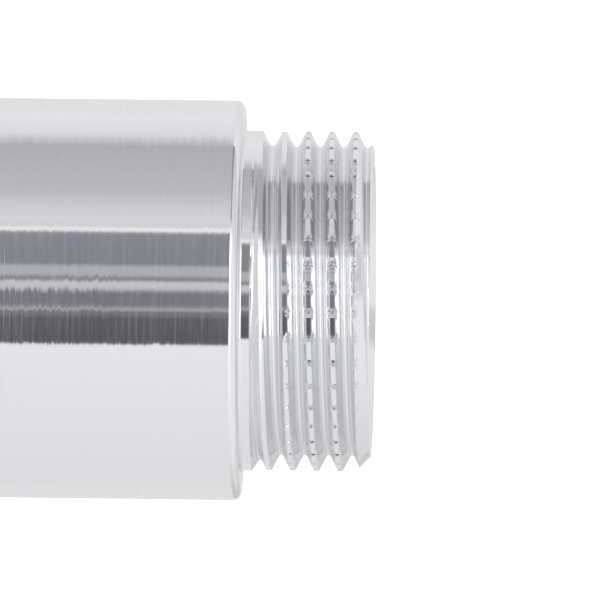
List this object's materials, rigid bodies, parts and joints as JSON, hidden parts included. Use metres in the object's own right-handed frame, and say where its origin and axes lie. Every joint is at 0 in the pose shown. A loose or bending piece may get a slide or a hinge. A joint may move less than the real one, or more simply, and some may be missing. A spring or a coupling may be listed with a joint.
{
  "type": "pipe extension fitting",
  "caption": "Round chrome-plated extension for a water or heating pipe, with a threaded socket at one end and a serrated male pipe thread at the other.",
  "frame": {"origin": "centre of the socket's end face, on which the fitting stands", "axes": "+Z along the fitting's axis, from the socket to the male thread; X and Y across it, with a notch of the thread on +X"},
  "size_m": [0.039, 0.039, 0.0526],
  "materials": {
    "polished_chrome": "polished chrome plate on brass"
  },
  "bodies": {
    "root": {"extension_fitting": "polished_chrome"}
  },
  "joints": []
}
